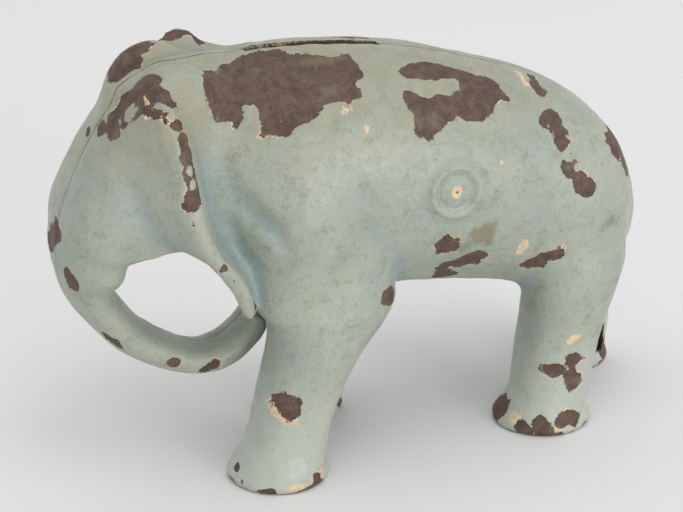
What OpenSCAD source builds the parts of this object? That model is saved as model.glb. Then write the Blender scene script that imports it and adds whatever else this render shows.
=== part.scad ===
// Elephant still bank: two sand-cast iron halves held by one cross screw.
// Frame: X runs from the trunk to the rump, Y across, Z up; soles stand on Z = 0.
// The halves meet on the plane Y = 0. Node names are listed in NODES.

/* [Overall] */
// Nominal length from the face to the right hind foot, mm
overall_length = 123.5; // [90:1:180]
// Wall thickness of both castings, mm
wall = 3.0; // [2.2:0.1:5]
// Gap left between the two mating faces, mm
joint_gap = 0.10; // [0.04:0.02:0.4]
// Points around each lofted section
section_points = 36; // [20:4:64]
// Extra steps between neighbouring sections
section_steps = 2; // [1:1:4]

/* [Coin slot] */
// Length of the coin slot along the back, mm
slot_length = 27.5; // [22:0.5:34]
// Full width of the coin slot, mm
slot_width = 2.4; // [2.2:0.1:4]
// Middle of the slot along X, mm
slot_center = -9.8; // [-14:0.2:-4]

/* [Screw and bosses] */
// Screw axis along X, mm
screw_x = 11; // [6:0.5:18]
// Screw axis height, mm
screw_z = 56; // [50:0.5:62]
// Shank diameter, mm
shank_d = 3.5; // [2.8:0.1:5]
// Radial clearance of the shank in both bores, mm
shank_clearance = 0.05; // [0.02:0.01:0.1]
// Diameter of the round screw head, mm
head_d = 6.4; // [5:0.1:9]
// Height of the round screw head, mm
head_h = 2.2; // [1.6:0.1:3.2]
// Width of the screwdriver slot, mm
driver_slot_w = 1.0; // [0.6:0.1:1.6]
// Depth of the screwdriver slot, mm
driver_slot_depth = 1.0; // [0.6:0.1:1.5]
// Length of shank held in the right casting, mm
thread_length = 12; // [8:0.5:16]
// Outer diameter of the raised pad round the screw head, mm
pad_d = 10.4; // [8:0.2:14]
// Height of the raised pad above the flank, mm
pad_rise = 0.7; // [0.3:0.1:1.5]
// Radial room round the screw head in its pocket, mm
head_room = 0.25; // [0.1:0.05:0.6]
// Depth of the pocket the screw head sits in, mm
pocket_depth = 1.3; // [0.6:0.1:2.5]
// Diameter of the inner bosses, mm
boss_d = 9; // [7:0.5:12]
// Depth of the left boss behind its wall, mm
left_boss_depth = 5; // [3:0.5:10]

/* [Legs and lugs] */
// Thickness of the closed soles, mm
sole_thickness = 3.2; // [2:0.2:5]
// Radius of the left foot pads, mm
foot_r = 9.8; // [8:0.2:11]
// Radius of the right foot pads, mm
right_foot_r = 9; // [8:0.2:11]
// Distance the right front foot stands behind the left one, mm
front_stagger = 14.8; // [0:0.2:20]
// Distance the right hind foot stands behind the left one, mm
hind_stagger = 18.2; // [0:0.2:20]
// Distance the right front foot stands in toward the joint, mm
front_lean = 5.9; // [0:0.1:6.5]
// Distance the right hind foot stands in toward the joint, mm
hind_lean = 3.2; // [0:0.1:4.5]
// Width of the cast-in locating lugs, mm
lug_w = 6; // [4:0.5:10]
// Distance the lugs reach past the joint, mm
lug_reach = 2.4; // [1.5:0.1:4]
// Thickness of the lugs, mm
lug_t = 2.2; // [1.5:0.1:3.5]
// Room between a lug and the wall it locates on, mm
lug_room = 0.5; // [0.2:0.05:0.8]

/* [Hidden] */

k = overall_length / 123.5;
hip_z = 50;
front_foot_x = -23.4;
hind_foot_x = 35;
front_reach = 25.4;
hind_reach = 23.2;
shank_r = shank_d / 2;
bore_r = shank_r + shank_clearance;
face_y = joint_gap / 2;
eps = 0.02;
reach = 90;
round_fn = 72;
paint_col = [0.66, 0.73, 0.71];
iron_col = [0.42, 0.34, 0.30];

// Body barrel, neck to rump: [x, top, bottom, half width, roundness]
BODY = [
    [-40, 70, 56, 4, 1.0], [-38, 77.8, 50, 10, 1.0], [-32, 81, 42, 14.5, 1.0],
    [-24, 82.2, 35, 18.2, 0.98], [-14, 82, 32.4, 20.4, 0.95], [-4, 81.2, 32, 21.2, 0.95],
    [6, 79.6, 31.8, 21.7, 0.95], [16, 77, 31, 22.0, 0.95], [26, 73.8, 29.2, 21.8, 0.95],
    [36, 69.8, 26.8, 20.2, 0.95], [44, 65.2, 25.6, 18, 0.97], [50, 60, 26, 15, 1.0],
    [54.6, 54, 28.6, 11, 1.0], [57.6, 47, 33.4, 6.2, 1.0], [58.4, 42, 38, 2, 1.0]
];
// Face and forehead: [z, front, back, half width, roundness]
HEAD = [
    [41.6, -59, -53.4, 7, 0.8], [44.6, -60.6, -52, 10.4, 0.7], [47.2, -61, -47, 12.4, 0.6],
    [49.4, -61.2, -36, 13.8, 0.55], [55, -61, -32, 14.4, 0.55], [62, -58.8, -30, 13.6, 0.62],
    [69, -54.8, -29, 12.6, 0.7], [75, -50.2, -29, 11.6, 0.8], [79, -45.5, -30, 10, 0.9],
    [80.4, -42, -33, 6, 1.0]
];
// Trunk: [x, z, half thickness, half width]
TRUNK = [
    [-53.5, 52, 5.6, 11.5], [-56, 45, 4.6, 10], [-55.7, 39.2, 4.3, 8.6], [-53.6, 34.6, 4.0, 7.2],
    [-49.8, 29.6, 3.8, 6.4], [-45.4, 25.8, 3.6, 6.0], [-39.6, 22.4, 3.4, 5.7],
    [-33.6, 20.6, 3.2, 5.4], [-28.4, 21.6, 3.1, 5.2], [-24, 24.8, 3.0, 5.0], [-21.8, 28, 2.6, 4.4]
];
// Left foreleg: [z, front, rear, outer, inner]
FORELEG = [
    [3.4, -30.2, -14.6, -24, -7.4], [6, -29.5, -14, -23.2, -7.4], [10, -28.4, -13, -22.8, -7],
    [16, -26.8, -11, -22.8, -6.4], [22, -25, -8, -23, -5.6], [27, -24, -4.2, -23, -4.8],
    [31, -24.4, -0.4, -22.8, -4], [35, -26.4, 1.6, -22.2, -4], [44, -26, 0, -20.6, -4],
    [54, -21, -3, -17.2, -4]
];
// Left hind leg: [z, front, rear, outer, inner]
HINDLEG = [
    [3.4, 28, 43.2, -21.8, -5.6], [6, 28.6, 43.8, -21.3, -5.6], [11, 29.4, 45, -21, -5.2],
    [17, 30, 46.4, -21, -5], [23, 31, 48, -21.4, -4.6], [29, 31.4, 50.2, -21.6, -4.2],
    [35, 30.6, 52, -21, -4], [44, 28, 51, -18.6, -4], [52, 29, 46, -13, -4]
];
// Left ear, a fan standing off the cheek:
// [z, edge front x, edge rear x, edge y, root front x, root rear x, root y]
LEFT_EAR = [
    [35.4, -30.3, -29, -18.6, -29.2, -28, -16.8], [38, -31.9, -29.2, -20, -29.2, -27, -14],
    [43, -34.4, -31, -21.4, -30.6, -27, -11], [46.6, -36.9, -33.6, -22, -33, -28, -8],
    [51, -40.2, -36.6, -22.4, -46, -29, -8], [58, -43.2, -39.4, -22.6, -54, -30, -8],
    [66, -44.6, -40.8, -21.6, -53, -31, -8], [72, -45.4, -41.4, -19.4, -51, -32, -8],
    [77, -45.8, -42, -15.6, -47, -34, -8], [79.2, -45.4, -42.4, -12.4, -46, -36, -8]
];
// Right ear, laid further back, same layout with Y mirrored
RIGHT_EAR = [
    [37, -30, -26, -19, -30, -25.6, -17], [43, -33.6, -27.6, -21.4, -38, -25, -11],
    [50, -35.6, -30, -24.2, -43, -25, -8], [58, -37, -31, -24.5, -45, -25, -8],
    [66, -37.6, -30.6, -24, -45, -25, -8], [73, -37.6, -29.4, -21.6, -44, -24.5, -8],
    [78.6, -36.6, -28, -18, -42, -25, -8], [81.4, -34, -30, -16, -37, -28, -10],
    [82.4, -33, -31, -14.6, -34, -30, -12.6]
];
// Low-relief tail on the right of the joint: [x, z, radius]
TAIL = [
    [51, 58.4, 1.2], [54.4, 53, 1.5], [57, 47, 1.5], [58.2, 41, 1.5], [58.6, 35.5, 1.4], [58.8, 30.5, 1.8],
    [58.2, 26, 1.2]
];
tail_y = 3.8;

function bend(a, b, c, d, t) =
    0.5 * ((2 * b) + (c - a) * t + (2 * a - 5 * b + 4 * c - d) * t * t
    + (3 * b - a - 3 * c + d) * t * t * t);
function smooth_rows(rows, n) = concat(
    [for (i = [0:len(rows) - 2], s = [0:n - 1])
        bend(rows[max(0, i - 1)], rows[i], rows[i + 1], rows[min(len(rows) - 1, i + 2)], s / n)],
    [rows[len(rows) - 1]]);
function power(v, e) = sign(v) * pow(abs(v), e);
function ring(c, u, v, a, b, e, m) =
    [for (i = [0:m - 1]) c + u * (a * power(cos(360 * i / m), e)) + v * (b * power(sin(360 * i / m), e))];
function center(pts) = [for (a = [0:2]) let (s = [for (p = pts) p[a]]) (s * [for (p = pts) 1]) / len(pts)];

// Closed skin through a list of rings that all hold the same number of points
module loft(rings) {
    n = len(rings);
    m = len(rings[0]);
    pts = concat([for (r = rings) for (p = r) p], [center(rings[0]), center(rings[n - 1])]);
    sides = [for (i = [0:n - 2], j = [0:m - 1]) let (q = (j + 1) % m)
        each [[i * m + j, (i + 1) * m + j, (i + 1) * m + q], [i * m + j, (i + 1) * m + q, i * m + q]]];
    caps = [for (j = [0:m - 1]) let (q = (j + 1) % m)
        each [[n * m, j, q], [n * m + 1, (n - 1) * m + q, (n - 1) * m + j]]];
    polyhedron(points = pts, faces = concat(sides, caps), convexity = 8);
}

// Barrel of the body; inset shrinks every section for the hollow
module barrel(inset = 0) {
    rows = [for (r = smooth_rows(BODY, section_steps)) if (min(r[1] - r[2], 2 * r[3]) * k > 2.4 * inset) r];
    last = len(rows) - 1;
    loft([for (i = [0:last]) let (r = rows[i], in = inset)
        ring([r[0] * k, 0, (r[1] + r[2]) / 2 * k], [0, 1, 0], [0, 0, 1],
            r[3] * k - in, (r[1] - r[2]) / 2 * k - in, r[4], section_points)]);
}

// Face, cheeks and forehead as a stack of level sections
module face(inset = 0) {
    loft([for (r = smooth_rows(HEAD, section_steps))
        ring([(r[1] + r[2]) / 2 * k, 0, r[0] * k], [1, 0, 0], [0, 1, 0],
            max(0.6, (r[2] - r[1]) / 2 * k - inset), max(0.6, r[3] * k - inset), r[4], section_points)]);
}

// Curled trunk swept along its middle line
module trunk() {
    rows = smooth_rows(TRUNK, section_steps);
    n = len(rows) - 1;
    loft([for (i = [0:n]) let (r = rows[i], a = rows[max(0, i - 1)], b = rows[min(n, i + 1)],
        d = [b[0] - a[0], 0, b[1] - a[1]] / norm([b[0] - a[0], 0, b[1] - a[1]]))
        ring([r[0] * k, 0, r[1] * k], [0, 1, 0], [-d[2], 0, d[0]], r[3] * k, r[2] * k, 0.95, 24)]);
}

// One leg shaft; inset > 0 gives its hollow, open toward the other leg
// (back and lean = how far the foot stands behind and inside the hip)
module shaft(rows, back, lean, inset = 0) {
    list = [for (r = smooth_rows(rows, section_steps)) if (inset == 0 || r[0] * k > sole_thickness) r];
    loft([for (r = list) let (inner = inset == 0 ? r[4] : r[4] + 2 * wall / k,
        drop = max(0, 1 - pow(r[0] / hip_z, 1.5)))
        ring([((r[1] + r[2]) / 2 + back * drop) * k,
            ((r[3] + inner) / 2 + lean * drop) * k + inset / 2, r[0] * k],
            [1, 0, 0], [0, 1, 0], (r[2] - r[1]) / 2 * k - inset,
            (inner - r[3]) / 2 * k - inset / 2, 0.85, 28)]);
}

module shafts(side, inset = 0) {
    shaft(FORELEG, side * front_stagger, side * front_lean, inset);
    shaft(HINDLEG, side * hind_stagger, side * hind_lean, inset);
}

// Flared foot with a thin rim and a flat sole
module foot(x, y, r) {
    translate([x * k, y * k, 0]) rotate_extrude($fn = 40)
        polygon([[0, 0], [r - 0.8, 0], [r - 0.1, 0.6], [r, 1.3], [r - 0.35, 2.1],
            [r - 1.1, 3.2], [r - 2.1, 4.8], [r - 3.2, 6.4], [r - 4.8, 7.6], [0, 8]]);
}

// An ear; each section is a blunt wedge from the cheek out to the thick edge
module ear(rows) {
    loft([for (r = smooth_rows(rows, section_steps)) let (z = r[0], out = r[3], m = (out + r[6]) / 2)
        [for (p = [[r[4], r[6]], [(r[1] * 0.62 + r[4] * 0.38) - 0.6, m - 1.2], [r[1], out + 0.9],
            [(r[1] * 0.7 + r[2] * 0.3), out], [(r[1] * 0.3 + r[2] * 0.7), out], [r[2], out + 0.9],
            [(r[2] * 0.7 + r[5] * 0.3), m], [r[5], r[6]]]) [p[0] * k, p[1] * k, z * k]]]);
}

// Tail hanging against the rump
module tail() {
    for (i = [0:len(TAIL) - 2]) hull() for (t = [TAIL[i], TAIL[i + 1]])
        translate([t[0] * k, tail_y * k, t[1] * k]) sphere(r = t[2] * k, $fn = 16);
}

module blob(at, size, tilt = 0) {
    translate(at * k) rotate([0, tilt, 0]) scale(size * k) sphere(r = 1, $fn = 28);
}

// Whole body with the ear and legs of one side: 0 is left, 1 is right
module skin(side) {
    barrel();
    face();
    trunk();
    for (s = [-1, 1]) {
        blob([-39.8, s * 7, 74.2], [8.4, 6.4, 8.7], 25);
        blob([-55, s * 7.6, 45.2], [4.8, 5, 4.4], 35);
    }
    if (side == 1) tail();
    mirror([0, side, 0]) ear(side == 0 ? LEFT_EAR : RIGHT_EAR);
    mirror([0, side, 0]) {
        shafts(side);
        r = side == 0 ? foot_r : right_foot_r;
        foot(front_foot_x + side * front_stagger, -front_reach + side * front_lean + r / k, r);
        foot(hind_foot_x + side * hind_stagger, -hind_reach + side * hind_lean + r / k, r);
    }
}

// The coin chamber plus the open-backed hollows of both legs
module hollow(side) {
    barrel(wall);
    difference() {
        face(wall);
        translate([-reach - 52 * k, -reach / 2, -eps]) cube([reach, reach, reach]);
    }
    difference() {
        mirror([0, side, 0]) shafts(side, wall);
        barrel();
    }
}

// Boss standing on the inside of a flank, along the screw axis
module boss(y0, y1, d) {
    translate([screw_x * k, y0, screw_z * k]) rotate([-90, 0, 0]) cylinder(d = d, h = y1 - y0, $fn = round_fn);
}

module half_space(side) {
    translate([-reach, side == 0 ? -reach - face_y : face_y, -reach / 3])
        cube([2 * reach, reach, 1.6 * reach]);
}

module coin_slot() {
    translate([slot_center * k - slot_length / 2, -slot_width / 2, 60 * k])
        cube([slot_length, slot_width, 40 * k]);
}

// Level of the inner wall at x: column 1 is the back, column 2 the belly
function level(x, column) = lookup(x, [for (r = BODY) [r[0], r[column]]]) * k;
function slope(x, column) = (level(x + 2, column) - level(x - 2, column)) / (4 * k);
flank_y = 21.8 * k;
seat_y = pocket_depth - flank_y - pad_rise;
seat_gap = 0.04;

// Stepped locating lug: its root is fused to the left wall, its tongue clears the right wall
module lug(x, column) {
    s = column == 1 ? -1 : 1;
    translate([x * k, 0, level(x, column) + s * wall]) rotate([0, -atan(slope(x, column)), 0]) {
        translate([-lug_w / 2, -8, s > 0 ? lug_room : -lug_room - lug_t])
            cube([lug_w, 8 + lug_reach, lug_t]);
        translate([-lug_w / 2, -8, s > 0 ? -wall / 2 : -lug_room - lug_t])
            cube([lug_w, 8 - face_y, wall / 2 + lug_room + lug_t]);
    }
}

// Freeform surfaces are joined into one body before the true bores are cut
module one_skin() {
    resize([0, 0, 0]) children();
}

module casting(side) {
    intersection() {
        difference() {
            skin(side);
            hollow(side);
        }
        half_space(side);
    }
}

// Node: left half, with the screw pad, its short boss and the locating lugs
module left_casting() {
    color(paint_col) difference() {
        one_skin() {
            casting(0);
            intersection() {
                boss(-reach / 2, left_boss_depth + wall - flank_y, boss_d);
                barrel();
            }
            boss(-flank_y - pad_rise, wall / 2 - flank_y, pad_d);
            lug(-11, 2);
            lug(18, 2);
            lug(14, 1);
        }
        coin_slot();
        boss(-flank_y - 2 * pad_rise, seat_y, head_d + 2 * head_room);
        boss(-reach / 2, reach / 2, 2 * bore_r);
    }
}

// Node: right half, with the long boss the screw threads into
module right_casting() {
    color(paint_col) difference() {
        one_skin() {
            casting(1);
            intersection() {
                boss(face_y, reach / 2, boss_d);
                barrel();
            }
        }
        coin_slot();
        boss(-reach / 2, thread_length + 1, 2 * bore_r);
    }
}

// Node: round-head screw, thread modelled as a plain shank
module screw() {
    steps = 10;
    dome = [for (i = [0:steps]) [head_d / 2 * cos(90 * i / steps), head_h * (0.25 + 0.75 * sin(90 * i / steps))]];
    color(iron_col) difference() {
        union() {
            translate([screw_x * k, seat_y - seat_gap, screw_z * k]) rotate([90, 0, 0])
                rotate_extrude($fn = round_fn) polygon(concat([[0, 0], [head_d / 2, 0]], dome));
            boss(seat_y - seat_gap - eps, thread_length, shank_d);
        }
        translate([screw_x * k - head_d, seat_y - seat_gap - head_h - 1, screw_z * k - driver_slot_w / 2])
            cube([2 * head_d, 1 + driver_slot_depth, driver_slot_w]);
    }
}

left_casting();
right_casting();
screw();
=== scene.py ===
"""Looks of a chipped, painted cast-iron elephant bank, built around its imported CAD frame.

Lengths are millimetres until a mesh is made. X runs from trunk to rump and Z is up. Each half is
modelled as a distance field whose Y points outward from the joint, then mirrored onto its own side.
"""
import math

import bmesh
import bpy
import numpy as np
import openvdb as vdb
from mathutils import Matrix, Vector


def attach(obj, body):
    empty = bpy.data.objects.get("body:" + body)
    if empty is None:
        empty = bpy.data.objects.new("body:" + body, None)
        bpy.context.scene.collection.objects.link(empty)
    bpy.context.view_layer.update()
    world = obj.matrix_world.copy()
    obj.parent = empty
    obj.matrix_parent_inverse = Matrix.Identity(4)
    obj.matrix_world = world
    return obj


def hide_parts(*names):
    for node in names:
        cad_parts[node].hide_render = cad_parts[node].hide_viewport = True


MM = 0.001
LEFT, RIGHT = -1, 1
WALL = 3.0
# Each half stops this far from the plane of the joint
JOINT_GAP = 0.05
# Voxel sizes of the outside and of the hollows, the block they fill, and the distance they keep
SKIN_STEP = 0.46
CAVITY_STEP = 1.2
GRID_LOW = (-64.0, -2.4, -2.4)
GRID_HIGH = (64.0, 28.0, 87.0)
BAND = 6.5
# Edges at least this steep stay sharp when shaded
SHARP = math.radians(50)
# Farther out than any surface
BEYOND = 120
# Cells after which the random fields repeat
GRAIN_CELLS = 29

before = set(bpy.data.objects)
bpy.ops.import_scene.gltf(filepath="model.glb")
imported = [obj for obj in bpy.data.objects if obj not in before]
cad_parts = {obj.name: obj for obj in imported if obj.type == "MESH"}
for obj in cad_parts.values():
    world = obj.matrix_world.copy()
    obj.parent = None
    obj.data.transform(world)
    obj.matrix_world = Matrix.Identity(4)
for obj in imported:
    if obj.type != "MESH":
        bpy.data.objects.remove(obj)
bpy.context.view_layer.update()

# Body barrel, neck to rump: x, back, belly, half width, roundness
BODY = (
    (-40, 70, 56, 4, 1.0), (-38, 77.8, 50, 10, 1.0), (-32, 81, 42, 14.5, 1.0),
    (-24, 82.2, 35, 18.2, 0.98), (-14, 82, 32.4, 20.4, 0.95), (-4, 81.2, 32, 21, 0.95),
    (6, 79.6, 31.4, 21.4, 0.95), (16, 77, 30.4, 21.8, 0.95), (26, 73.8, 28.6, 21.6, 0.95),
    (36, 70.3, 26.8, 20, 0.95), (44, 66, 25.6, 18, 0.97), (50.6, 60.4, 26, 15, 1.0),
    (55.2, 54.2, 28.6, 11, 1.0), (58.2, 47, 33.4, 6.2, 1.0), (58.9, 42, 38, 2, 1.0),
)
# Face and forehead: z, front, back, half width, roundness
HEAD = (
    (41.6, -59.6, -53.4, 7, 0.8), (44.6, -61.1, -52, 10.4, 0.7), (47.2, -61.3, -47, 12.4, 0.6),
    (49.4, -61.2, -36, 13.8, 0.55), (55, -60.6, -32, 14.4, 0.55), (62, -57.8, -30, 13.6, 0.62),
    (69, -54.1, -29, 12.6, 0.7), (75, -49.8, -29, 11.6, 0.8), (79, -45.5, -30, 10, 0.9),
    (80.4, -42, -33, 6, 1.0),
)
# Trunk: x, z, half thickness, half width
TRUNK = (
    (-53.5, 52, 5.6, 11.5), (-56.6, 45, 4.6, 10), (-56.3, 39.2, 4.3, 8.6), (-53.6, 34.6, 4.0, 7.2),
    (-49.8, 29.6, 3.8, 6.4), (-45.4, 25.8, 3.6, 6.0), (-39.6, 22.4, 3.4, 5.7),
    (-33.6, 20.6, 3.2, 5.4), (-28.4, 21.6, 3.1, 5.2), (-24, 24.8, 3.0, 5.0), (-21.8, 28, 2.6, 4.4),
)
# Legs: z, front, rear, outer, inner; Y is measured outward from the joint
FORELEG = (
    (3.4, -30.2, -14.6, 24, 7.4), (6, -29.5, -14, 23.2, 7.4), (10, -28.4, -13, 22.8, 7),
    (16, -26.8, -11, 22.8, 6.4), (22, -25, -8, 23, 5.6), (27, -24, -4.2, 23, 4.8),
    (31, -24.4, -0.4, 22.8, 4), (35, -26.4, 1.6, 22.2, 4), (44, -26, 0, 20.6, 4),
    (54, -21, -3, 17.2, 4),
)
HINDLEG = (
    (3.4, 28, 43.2, 21.8, 5.6), (6, 28.6, 43.8, 21.3, 5.6), (11, 29.4, 45, 21, 5.2),
    (17, 30, 46.4, 21, 5), (23, 31, 48, 21.4, 4.6), (29, 31.4, 50.2, 21.6, 4.2),
    (35, 30.6, 52, 21, 4), (44, 28, 51, 18.6, 4), (52, 29, 46, 13, 4),
)
# Ears: z, edge front x, edge rear x, edge y, root front x, root rear x, root y
LEFT_EAR = (
    (35.4, -30.3, -29, 18.6, -29.2, -28, 16.8), (38, -31.9, -29.2, 20, -29.2, -27, 14),
    (43, -34.4, -31, 21.4, -30.6, -27, 11), (46.6, -36.9, -33.6, 22, -33, -28, 8),
    (51, -40.2, -36.6, 22.4, -48, -29, 8), (58, -43.2, -39.4, 22.6, -54, -30, 8),
    (66, -44.6, -40.8, 21.6, -53, -31, 8), (72, -45.4, -41.4, 19.4, -51, -32, 8),
    (77, -45.8, -42, 15.6, -47, -34, 8), (79.2, -45.4, -42.4, 12.4, -46, -36, 8),
)
RIGHT_EAR = (
    (37, -30, -26, 19, -30, -25.6, 17), (43, -33.6, -27.6, 21.4, -38, -25, 11),
    (50, -35.6, -30, 24.2, -43, -25, 8), (58, -37, -31, 24.5, -45, -25, 8),
    (66, -37.6, -30.6, 24, -45, -25, 8), (73, -37.6, -29.4, 21.6, -44, -24.5, 8),
    (78.6, -36.6, -28, 18, -42, -25, 8), (81.4, -34, -30, 16, -37, -28, 10),
    (83, -33.4, -30.6, 14.6, -34.4, -29.6, 12.6),
)
# Tail, low on the right half: x, y, z, radius
TAIL = (
    (51, 3.8, 58.4, 1.2), (54.4, 3.8, 53, 1.5), (57, 3.8, 47, 1.5), (58.2, 3.8, 41, 1.5),
    (58.6, 3.8, 35.5, 1.4), (58.8, 3.8, 30.5, 1.8), (58.2, 3.8, 26, 1.2),
)
# Fine line carved beside the joint over the neck, on the right half: x, y, z, radius
WELT = (
    (-45, 0.4, 80.4, 0.3), (-42, 1.8, 81.6, 0.4), (-38.3, 3.2, 82, 0.4), (-33.4, 4.6, 81.8, 0.4),
    (-29, 4.4, 81.8, 0.4), (-25.5, 2, 82.2, 0.4), (-23, 0.6, 82.2, 0.3),
)
# Raised line of the joint over the crown: x, y, z, radius
CROWN_RIDGE = ((-47, 0, 76.6, 1.8), (-40, 0, 79.8, 2.0), (-31, 0, 79.8, 1.6))
# Hollows carved behind the shoulder, behind the ear and before the hip: x, y, z, radius
SHOULDER_HOLLOW = (
    (-9.4, 23.6, 66, 1.0), (-8.4, 24, 58, 1.8), (-6.6, 23.8, 51, 2.2), (-3.6, 22.8, 45.6, 2.2),
    (0.4, 20.6, 40, 1.9), (2.6, 18.4, 36.4, 1.4),
)
NECK_HOLLOW = (
    (-34.5, 16.4, 71, 1), (-33.4, 17, 62.6, 1.8), (-31, 17.4, 58, 2.0), (-28.4, 18.6, 54.8, 1.9),
    (-25.4, 20.6, 52.6, 1.5), (-23.8, 21.6, 49, 0.9),
)
HIP_HOLLOW = ((29, 21.8, 68, 1), (27.5, 23.8, 60, 1.2), (27, 24.2, 50, 1))
# Rounded masses: centre, half sizes, tilt in degrees
CROWN = ((-39.8, 7.2, 74.6), (8.7, 6.2, 8.8), 25)
MOUTH_FOLD = ((-55.2, 7.6, 45.2), (4.6, 4.8, 4.2), 35)
SHOULDER = {
    LEFT: ((-16.5, 11.4, 50), (13, 10.8, 17), -8),
    RIGHT: ((-9, 11, 47), (12.5, 10.8, 16), -8),
}
HAUNCH = {
    LEFT: ((40, 9.5, 45), (12.5, 10.8, 18), 12),
    RIGHT: ((43, 8.8, 44), (12.5, 10.4, 17), 12),
}
# Widths over which joined parts run together, mm
NECK_BLEND, TRUNK_BLEND, FOOT_BLEND, TAIL_BLEND, WELT_BLEND = 4, 2.5, 1.0, 1, 0.8
LEG_BLENDS = (3, 2)
CROWN_BLEND, MOUTH_BLEND, RIM_BLEND, EAR_BLEND, RIDGE_BLEND = 3, 2, 0.8, 1.8, 2.5
SHOULDER_BLEND, HAUNCH_BLEND, PAD_BLEND, DISH_BLEND = 3, 4, 2.2, 1.6
# Rolled rim of the left ear
RIM_R, RIM_LOW_Z = 1.15, 44
# Legs keep their place above this height and spread to their feet below it
HIP_Z = 50
# Right feet stand behind and inside the left ones: (front, hind)
STAGGER = (14.8, 18.2)
LEAN = (5.9, 3.2)
# Left feet, front and hind: x of the centre, y of the outer edge; then the radius on each side
FOOT_X = (-23.4, 35.0)
FOOT_REACH = (25.4, 23.2)
FOOT_R = {LEFT: 10.0, RIGHT: 9.0}
# Flare of a foot: z, distance inside its radius
FOOT_FLARE = (
    (0, 0.9), (0.5, 0.15), (1.2, 0), (2.0, 0.35), (3.1, 1.1), (4.7, 2.1), (6.3, 3.2), (7.6, 4.8),
)

# Groove left between the halves all along the joint
SEAM_DEPTH, SEAM_HALF = 0.22, 0.5

# Screw along Y; paint closes the gap around its head, so the head is larger than its pocket
SCREW_X, SCREW_Z = 11.0, 56.0
SHANK_R, BORE_R = 1.75, 1.8
HEAD_R, POCKET_R = 3.4, 3.3
SEAT_Y = 21.2
SHANK_END = -12.0
# Screw head: radius, rise above its seat
DOME = (
    (0.02, 1.12), (0.4, 1.11), (0.9, 1.08), (1.4, 1.02), (1.9, 0.94), (2.4, 0.83), (2.9, 0.7),
    (3.2, 0.6), (HEAD_R, 0.45),
)
SEAT_GAP = 0.04
# Driver groove, mostly filled with paint: depth, half width, reach
GROOVE_DEPTH, GROOVE_HALF, GROOVE_R = 0.1, 0.42, 2.9
# The head is painted outward of this
HEAD_PAINT_Y = SEAT_Y + 0.3
THREAD_PITCH, THREAD_DEPTH, THREAD_TOP = 0.8, 0.2, 2.0
# Round pad on the left flank with a dish for the head
PAD_R, PAD_Y, PAD_HALF = 4.9, 20.1, 2.0
DISH_R, DISH_Y = 3.7, 21.85
# Bosses inside the halves; their roots are in the wall
BOSS_R, BOSS_ROOT_Y = 4.5, 20.0
LEFT_BOSS_Y, TAPPED_Y = 13.8, 13.0
# Coin slot along the back; its cut starts inside the chamber
SLOT_X = (-23.55, 3.95)
SLOT_WIDTH = 2.4
SLOT_LOW_Z = 60
# Locating lugs: x, whether under the back rather than over the belly
LUGS = ((-11, False), (18, False), (14, True))
LUG_WIDTH, LUG_THICK, LUG_REACH, LUG_ROOM, LUG_ROOT_Y = 6.0, 2.2, 2.4, 0.5, 8


# ---------------------------------------------------------------- distance fields
def bend(rows, steps):
    """Catmull-Rom rows between the given ones."""
    rows = np.array(rows, float)
    ends = np.vstack((rows[:1], rows, rows[-1:]))
    out = []
    for i in range(len(rows) - 1):
        a, b, c, d = ends[i:i + 4]
        for t in np.arange(steps) / steps:
            out.append(0.5 * (2 * b + (c - a) * t + (2 * a - 5 * b + 4 * c - d) * t ** 2
                              + (3 * b - a - 3 * c + d) * t ** 3))
    out.append(rows[-1])
    return np.array(out)


def superellipse(roundness, count):
    """Points around a unit oval; roundness below 1 squares it."""
    angle = np.arange(count) * math.tau / count
    cos, sin = np.cos(angle), np.sin(angle)
    return (np.sign(cos) * np.abs(cos) ** roundness, np.sign(sin) * np.abs(sin) ** roundness)


def ring_quads(rings, count):
    """Faces between closed rings of count points each, numbered ring after ring."""
    i, j = np.meshgrid(np.arange(rings - 1), np.arange(count), indexing="ij")
    q = (j + 1) % count
    low, high = i * count, (i + 1) * count
    return np.stack((low + j, low + q, high + q, high + j), -1).reshape(-1, 4)


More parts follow.
